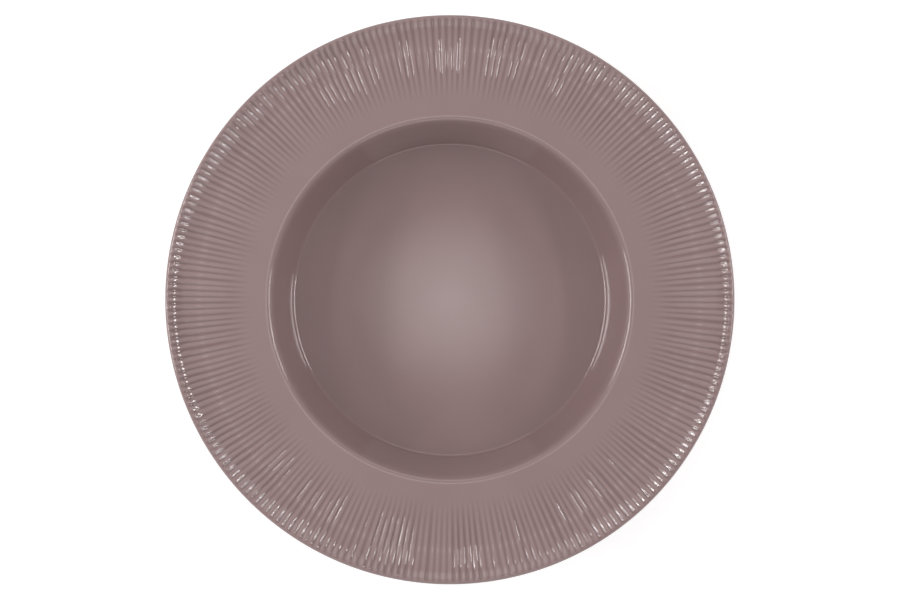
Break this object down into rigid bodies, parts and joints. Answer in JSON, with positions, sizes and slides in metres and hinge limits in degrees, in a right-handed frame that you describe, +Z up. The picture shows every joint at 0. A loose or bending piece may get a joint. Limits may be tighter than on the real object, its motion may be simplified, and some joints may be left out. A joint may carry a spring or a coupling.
{
  "type": "rimmed soup plate",
  "caption": "Round deep plate with a steep-sided well, a broad rim with fine radial fluting, an upturned lip and a foot ring.",
  "frame": {"origin": "centre of the foot ring, on the plane that the plate stands on", "axes": "+Z up along the plate's axis; X and Y lie in the standing plane, and +X starts a group of flutes of the dressed model"},
  "size_m": [0.24, 0.24, 0.037],
  "materials": {
    "bare_porcelain": "fired and unglazed, fine and matte",
    "mauve_glaze": "glossy coloured glaze"
  },
  "bodies": {
    "root": {"porcelain_body": "bare_porcelain", "outer_glaze": "mauve_glaze", "recess_glaze": "mauve_glaze"}
  },
  "joints": []
}
